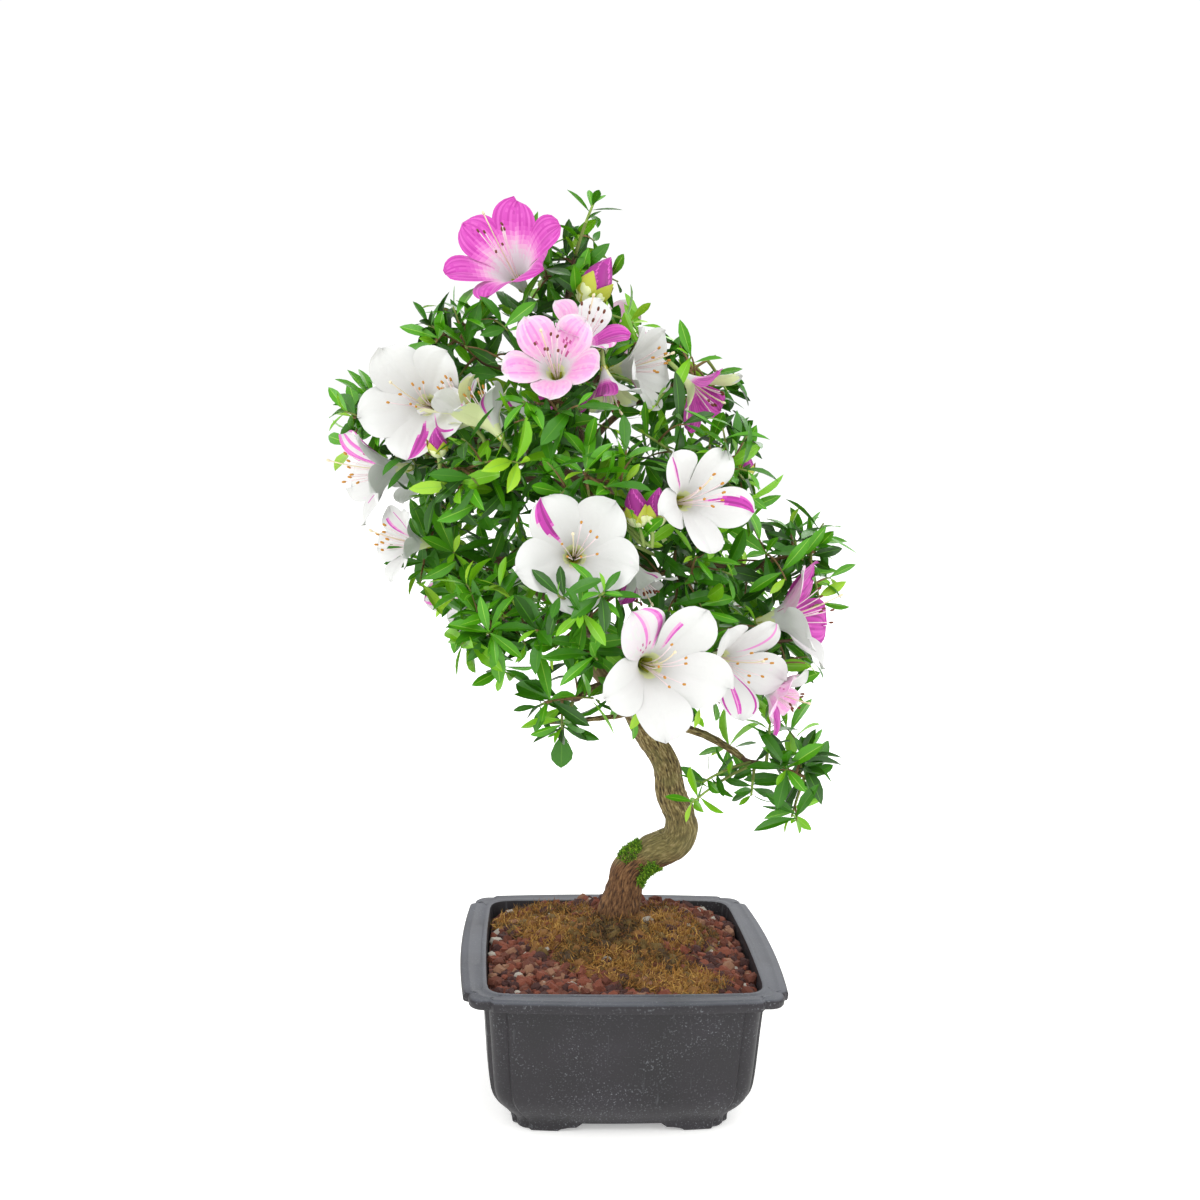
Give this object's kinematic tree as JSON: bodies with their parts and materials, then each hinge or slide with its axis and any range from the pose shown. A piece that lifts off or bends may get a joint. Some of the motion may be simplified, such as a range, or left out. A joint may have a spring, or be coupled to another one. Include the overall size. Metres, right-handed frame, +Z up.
{
  "type": "azalea bonsai in a training pot",
  "caption": "Small informal-upright azalea bonsai in flower, with an S-bent leaning trunk, in a square dark plastic training pot filled with lava grit.",
  "frame": {"origin": "middle of the underside of the whole plant's box, at the level of the pot's feet", "axes": "+Z up, -Y the front, +X to the viewer's right; the pot's sides lie along X and Y"},
  "size_m": [0.2718, 0.2016, 0.4472],
  "materials": {
    "pot_plastic": "matt moulded plastic, charcoal",
    "lava_grit": "rough reddish-brown grains",
    "bark": "rough bark",
    "foliage": "glossy evergreen leaves, with white and magenta flowers"
  },
  "bodies": {
    "root": {"bough_centre_front": "bark", "bough_centre_right": "bark", "bough_left": "bark", "bough_low_front": "bark", "bough_low_left": "bark", "bough_low_left_front": "bark", "bough_low_right_front": "bark", "bough_low_right_spray": "bark", "bough_low_spray": "bark", "bough_mid_left": "bark", "bough_mid_right": "bark", "bough_rear_centre": "bark", "bough_rear_left": "bark", "bough_rear_low_left": "bark", "bough_rear_low_right": "bark", "bough_rear_right": "bark", "bough_rear_top": "bark", "bough_right_arm": "bark", "bough_right_blooms": "bark", "bough_upper_front": "bark", "bough_upper_left": "bark", "bough_upper_right": "bark", "foliage_apex": "foliage", "foliage_centre_front": "foliage", "foliage_centre_right": "foliage", "foliage_left": "foliage", "foliage_low_front": "foliage", "foliage_low_left": "foliage", "foliage_low_left_front": "foliage", "foliage_low_right_front": "foliage", "foliage_low_right_spray": "foliage", "foliage_low_spray": "foliage", "foliage_mid_left": "foliage", "foliage_mid_right": "foliage", "foliage_rear_centre": "foliage", "foliage_rear_left": "foliage", "foliage_rear_low_left": "foliage", "foliage_rear_low_right": "foliage", "foliage_rear_right": "foliage", "foliage_rear_top": "foliage", "foliage_right_arm": "foliage", "foliage_right_blooms": "foliage", "foliage_upper_front": "foliage", "foliage_upper_left": "foliage", "foliage_upper_right": "foliage", "grit_bed": "lava_grit", "pot": "pot_plastic", "sawn_stub": "bark", "trunk": "bark"}
  },
  "joints": []
}
